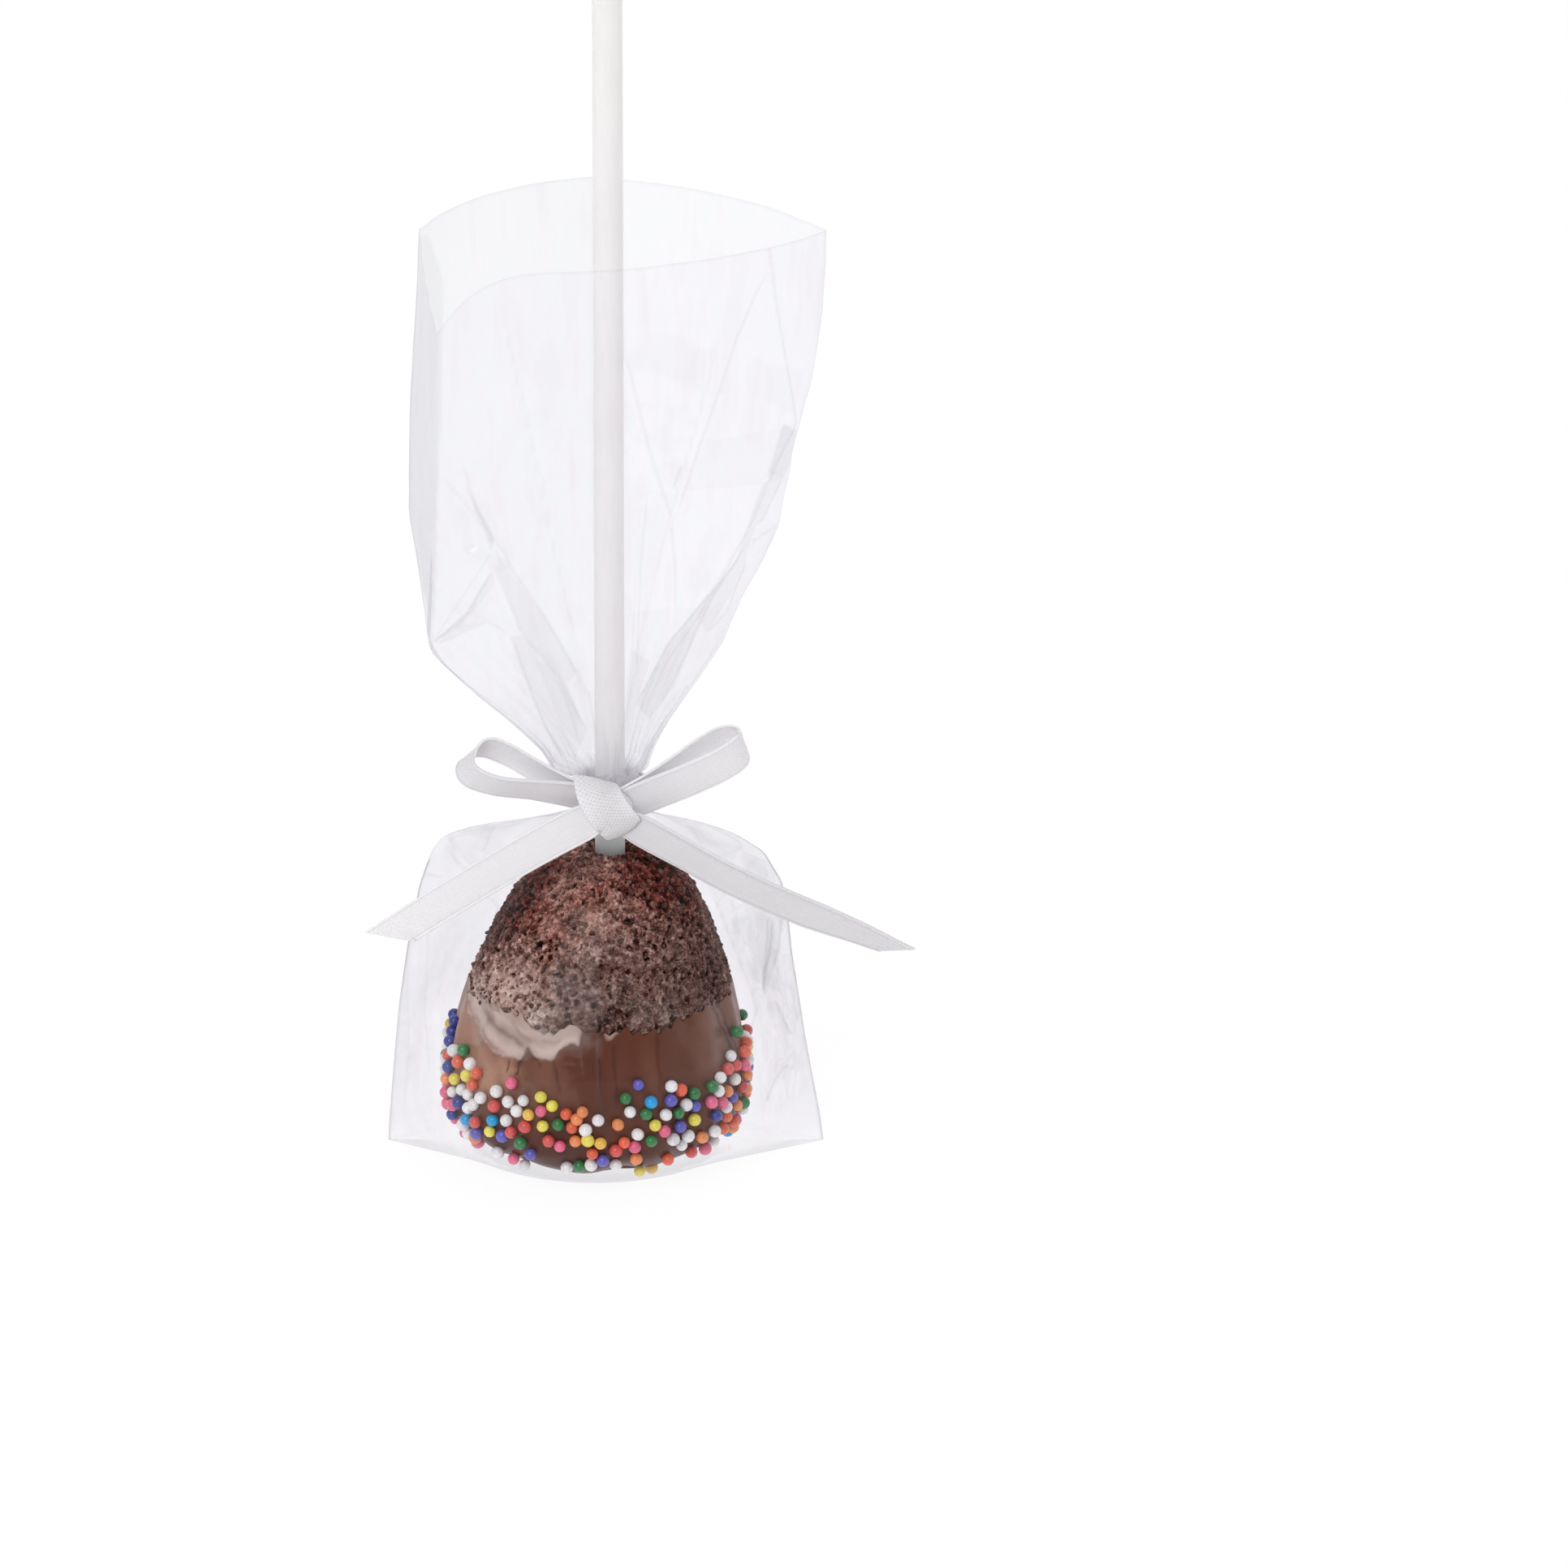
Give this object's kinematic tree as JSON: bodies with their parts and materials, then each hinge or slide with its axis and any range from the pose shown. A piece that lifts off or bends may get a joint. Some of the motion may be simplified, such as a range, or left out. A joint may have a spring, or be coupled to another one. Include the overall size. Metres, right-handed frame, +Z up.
{
  "type": "cake pop",
  "caption": "Fluted chocolate cake pop dipped in milk chocolate and sugar balls, on a paper stick, in a clear bag tied with a ribbon bow.",
  "frame": {"origin": "on the stick's axis, on the surface that the flat base stands on", "axes": "+Z up along the stick, -Y towards the bow, X along the bag's bottom seam"},
  "size_m": [0.0726, 0.0452, 0.169],
  "materials": {
    "stick_paper": "rolled white paper, smooth and matt",
    "chocolate_cake": "open dark chocolate crumb, matt",
    "milk_chocolate": "set milk chocolate with coloured sugar balls, soft gloss",
    "clear_film": "clear creased film, glossy",
    "white_ribbon": "white woven ribbon with fine ribs"
  },
  "bodies": {
    "root": {"stick": "stick_paper", "cake": "chocolate_cake", "coat": "milk_chocolate", "bag": "clear_film", "ribbon": "white_ribbon"}
  },
  "joints": []
}
